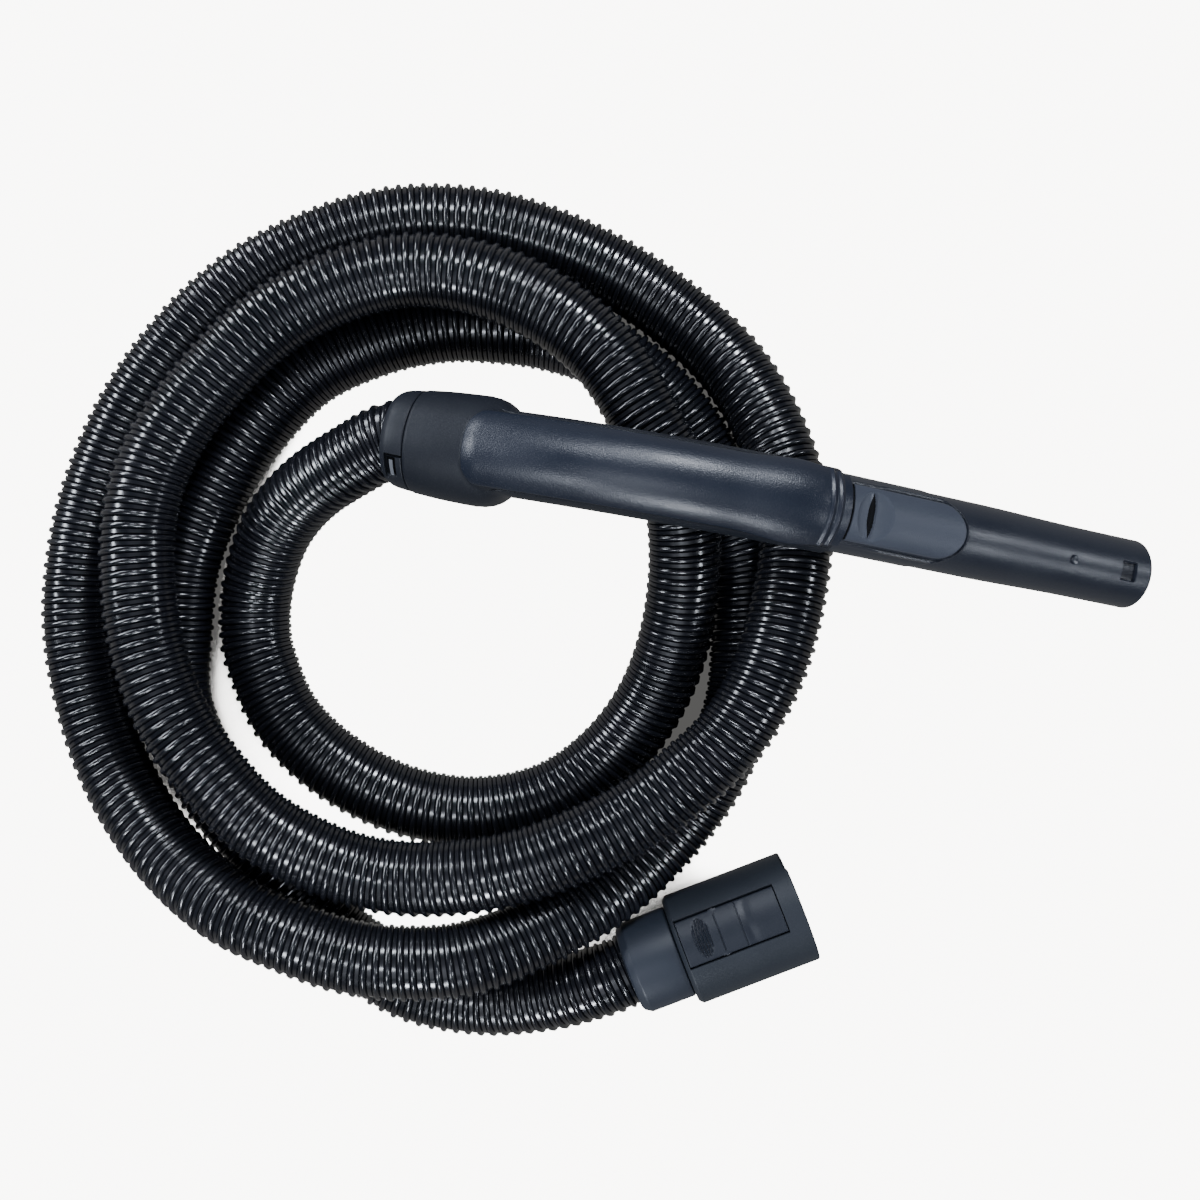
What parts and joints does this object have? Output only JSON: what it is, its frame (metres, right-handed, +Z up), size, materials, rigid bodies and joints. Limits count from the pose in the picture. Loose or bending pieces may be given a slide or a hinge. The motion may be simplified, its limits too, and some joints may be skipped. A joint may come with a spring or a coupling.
{
  "type": "vacuum cleaner hose",
  "caption": "Coiled spiral vacuum cleaner hose with a bent handle, sliding air regulator and a latched swivel plug.",
  "frame": {"origin": "on the floor under the middle of the rigid parts (handle and plug), the hose left out", "axes": "+X from the hose coil towards the wand tip side, +Z up from the floor"},
  "size_m": [0.5531, 0.4264, 0.1157],
  "materials": {
    "housing": "satin, fine mould grain",
    "cover": "satin",
    "slider": "satin",
    "plug": "matt mould grain",
    "latch": "satin",
    "hose": "glossy flexible plastic",
    "cuff": "matt",
    "seal": "matt rubber",
    "spring_steel": "drawn wire"
  },
  "bodies": {
    "handle": {"wand_tube": "housing", "hose_socket": "housing", "grip_duct": "housing", "grip_cover": "cover", "slider_spring": "spring_steel", "handle_seal": "seal", "hose": "hose", "machine_cuff": "cuff", "plug_snap_ring": "spring_steel"},
    "handle_swivel": {"coupling_ring": "housing", "handle_cuff": "cuff", "lock_tabs": "cuff", "handle_snap_ring": "spring_steel"},
    "air_slider": {"air_slider": "slider"},
    "plug": {"plug_barrel": "plug", "plug_liner": "cuff", "plug_seal": "seal", "port_seal": "seal", "latch_pins": "spring_steel", "latch_spring_upper": "spring_steel", "latch_spring_lower": "spring_steel"},
    "latch_upper": {"latch_upper": "latch"},
    "latch_lower": {"latch_lower": "latch"}
  },
  "joints": [
    {"name": "hose_swivel", "type": "hinge", "parent": "handle", "child": "handle_swivel", "pos_m": [-0.1634, 0.1265, 0.06084], "axis": [0.9553, -0.1702, 0.2419], "continuous": true},
    {"name": "air_slide", "type": "slide", "parent": "handle", "child": "air_slider", "axis": [-0.916, 0.1632, 0.3665], "range_m": [0, 0.014]},
    {"name": "plug_swivel", "type": "hinge", "parent": "handle", "child": "plug", "pos_m": [-0.0372, -0.12021, 0.028], "axis": [0.9342, 0.3567, 0], "continuous": true},
    {"name": "latch_upper_press", "type": "hinge", "parent": "plug", "child": "latch_upper", "pos_m": [-0.02635, -0.1091, 0.05027], "axis": [0.3424, -0.8967, 0.2807], "range_deg": [0, 4], "stiffness_Nm_per_rad": 0.5, "springref_deg": -3.44, "deforming": ["latch_spring_upper"]},
    {"name": "latch_lower_press", "type": "hinge", "parent": "plug", "child": "latch_lower", "pos_m": [-0.02171, -0.12127, 0.00573], "axis": [-0.3424, 0.8967, -0.2807], "range_deg": [0, 4], "stiffness_Nm_per_rad": 0.5, "springref_deg": -3.44, "deforming": ["latch_spring_lower"]}
  ]
}
